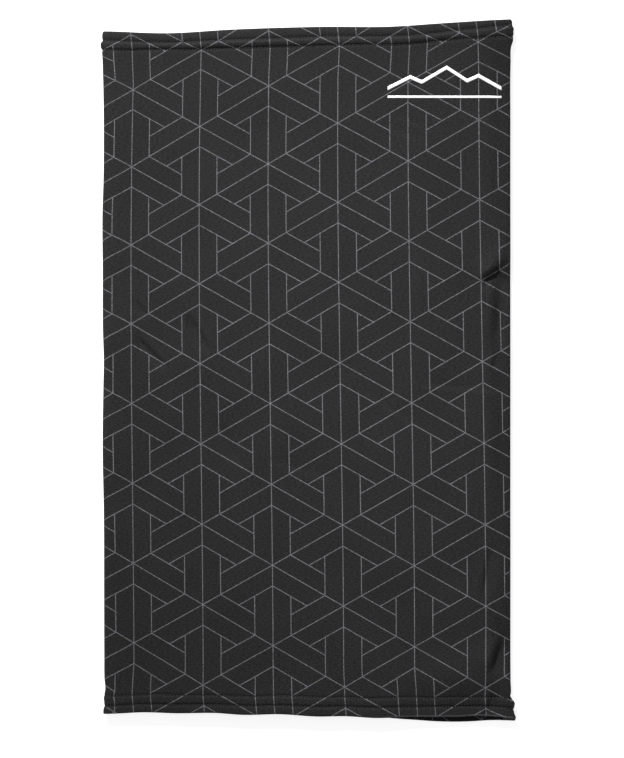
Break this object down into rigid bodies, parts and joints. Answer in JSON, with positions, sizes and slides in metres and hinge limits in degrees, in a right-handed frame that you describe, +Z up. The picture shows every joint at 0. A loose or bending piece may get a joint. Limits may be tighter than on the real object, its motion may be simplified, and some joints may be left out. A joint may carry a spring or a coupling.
{
  "type": "neck gaiter",
  "caption": "Flat-lying tube of stretch knit, open at both ends, with stitched hems, overlocked side seams, a line-printed surface and a small white transfer.",
  "frame": {"origin": "middle of the flat face that the gaiter rests on, at the centre of its bounding box", "axes": "+X across the tube to its right side fold, +Y along the tube to the top hem, +Z up out of the front panel"},
  "size_m": [0.25, 0.432, 0.0081],
  "materials": {
    "printed_knit": "matt fine knit, charcoal with a printed lattice of thin grey lines outside, plain and darker inside",
    "sewing_thread": "charcoal twisted polyester thread with a slight sheen",
    "transfer_film": "smooth matt white heat-transfer film",
    "satin_label": "blank off-white woven satin ribbon"
  },
  "bodies": {
    "root": {"front_panel": "printed_knit", "back_panel": "printed_knit", "transfer_mark": "transfer_film", "care_label": "satin_label", "top_hem_outer_needle_thread": "sewing_thread", "top_hem_inner_needle_thread": "sewing_thread", "top_hem_looper_thread": "sewing_thread", "bottom_hem_outer_needle_thread": "sewing_thread", "bottom_hem_inner_needle_thread": "sewing_thread", "bottom_hem_looper_thread": "sewing_thread", "left_seam_needle_thread": "sewing_thread", "left_seam_upper_looper_thread": "sewing_thread", "left_seam_lower_looper_thread": "sewing_thread", "right_seam_needle_thread": "sewing_thread", "right_seam_upper_looper_thread": "sewing_thread", "right_seam_lower_looper_thread": "sewing_thread"}
  },
  "joints": []
}
